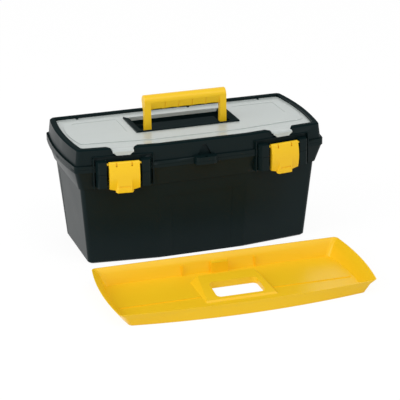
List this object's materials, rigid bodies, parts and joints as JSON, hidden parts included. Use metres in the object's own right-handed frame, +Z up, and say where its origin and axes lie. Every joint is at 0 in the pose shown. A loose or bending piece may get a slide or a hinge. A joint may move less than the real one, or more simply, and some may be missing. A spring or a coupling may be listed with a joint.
{
  "type": "tool box",
  "caption": "Plastic tool box: flared base, hinged lid with organizer bins under a clear cover, folding carry handle, front latches and a lift-out tray standing in front.",
  "frame": {"origin": "middle of the base's bottom face, between its ends and under its widest cavity", "axes": "+X runs along the box, +Y to the hinges at the back, +Z up; the tray stands on the -Y side"},
  "size_m": [0.521, 0.5337, 0.3025],
  "materials": {
    "black_plastic": "fine-grained moulded black",
    "yellow_plastic": "satin moulded yellow",
    "clear_plastic": "cloudy clear, smooth",
    "pin_steel": "plain bright steel"
  },
  "bodies": {
    "base": {"base_shell": "black_plastic", "base_eye": "black_plastic", "left_hinge_pin": "pin_steel", "right_hinge_pin": "pin_steel"},
    "lid": {"lid_shell": "black_plastic", "lid_eye": "black_plastic", "left_bins": "black_plastic", "right_bins": "black_plastic", "front_middle_bin": "black_plastic", "rear_middle_bin": "black_plastic", "well_left": "black_plastic", "well_middle": "black_plastic", "well_right": "black_plastic"},
    "cover": {"clear_cover": "clear_plastic", "cover_flange": "clear_plastic"},
    "handle": {"carry_handle": "yellow_plastic"},
    "left_latch": {"left_latch": "yellow_plastic"},
    "right_latch": {"right_latch": "yellow_plastic"},
    "tray": {"lift_out_tray": "yellow_plastic"}
  },
  "joints": [
    {"name": "lid_hinge", "type": "hinge", "parent": "base", "child": "lid", "pos_m": [0, 0.119, 0.20315], "axis": [-1, 0, 0], "range_deg": [0, 100]},
    {"name": "cover_hinge", "type": "hinge", "parent": "lid", "child": "cover", "pos_m": [0, 0.0932, 0.2353], "axis": [-1, 0, 0], "range_deg": [0, 100]},
    {"name": "handle_fold", "type": "hinge", "parent": "lid", "child": "handle", "pos_m": [0, -0.012, 0.23], "axis": [-1, 0, 0], "range_deg": [0, 90]},
    {"name": "left_latch_swing", "type": "hinge", "parent": "lid", "child": "left_latch", "pos_m": [-0.16091, -0.1331, 0.2135], "axis": [-0.9925, 0.1219, 0], "range_deg": [0, 100]},
    {"name": "right_latch_swing", "type": "hinge", "parent": "lid", "child": "right_latch", "pos_m": [0.16091, -0.1331, 0.2135], "axis": [-0.9925, -0.1219, 0], "range_deg": [0, 100]},
    {"name": "tray_lift", "type": "slide", "parent": "base", "child": "tray", "axis": [0, 0, 1], "range_m": [0, 0.15]}
  ]
}
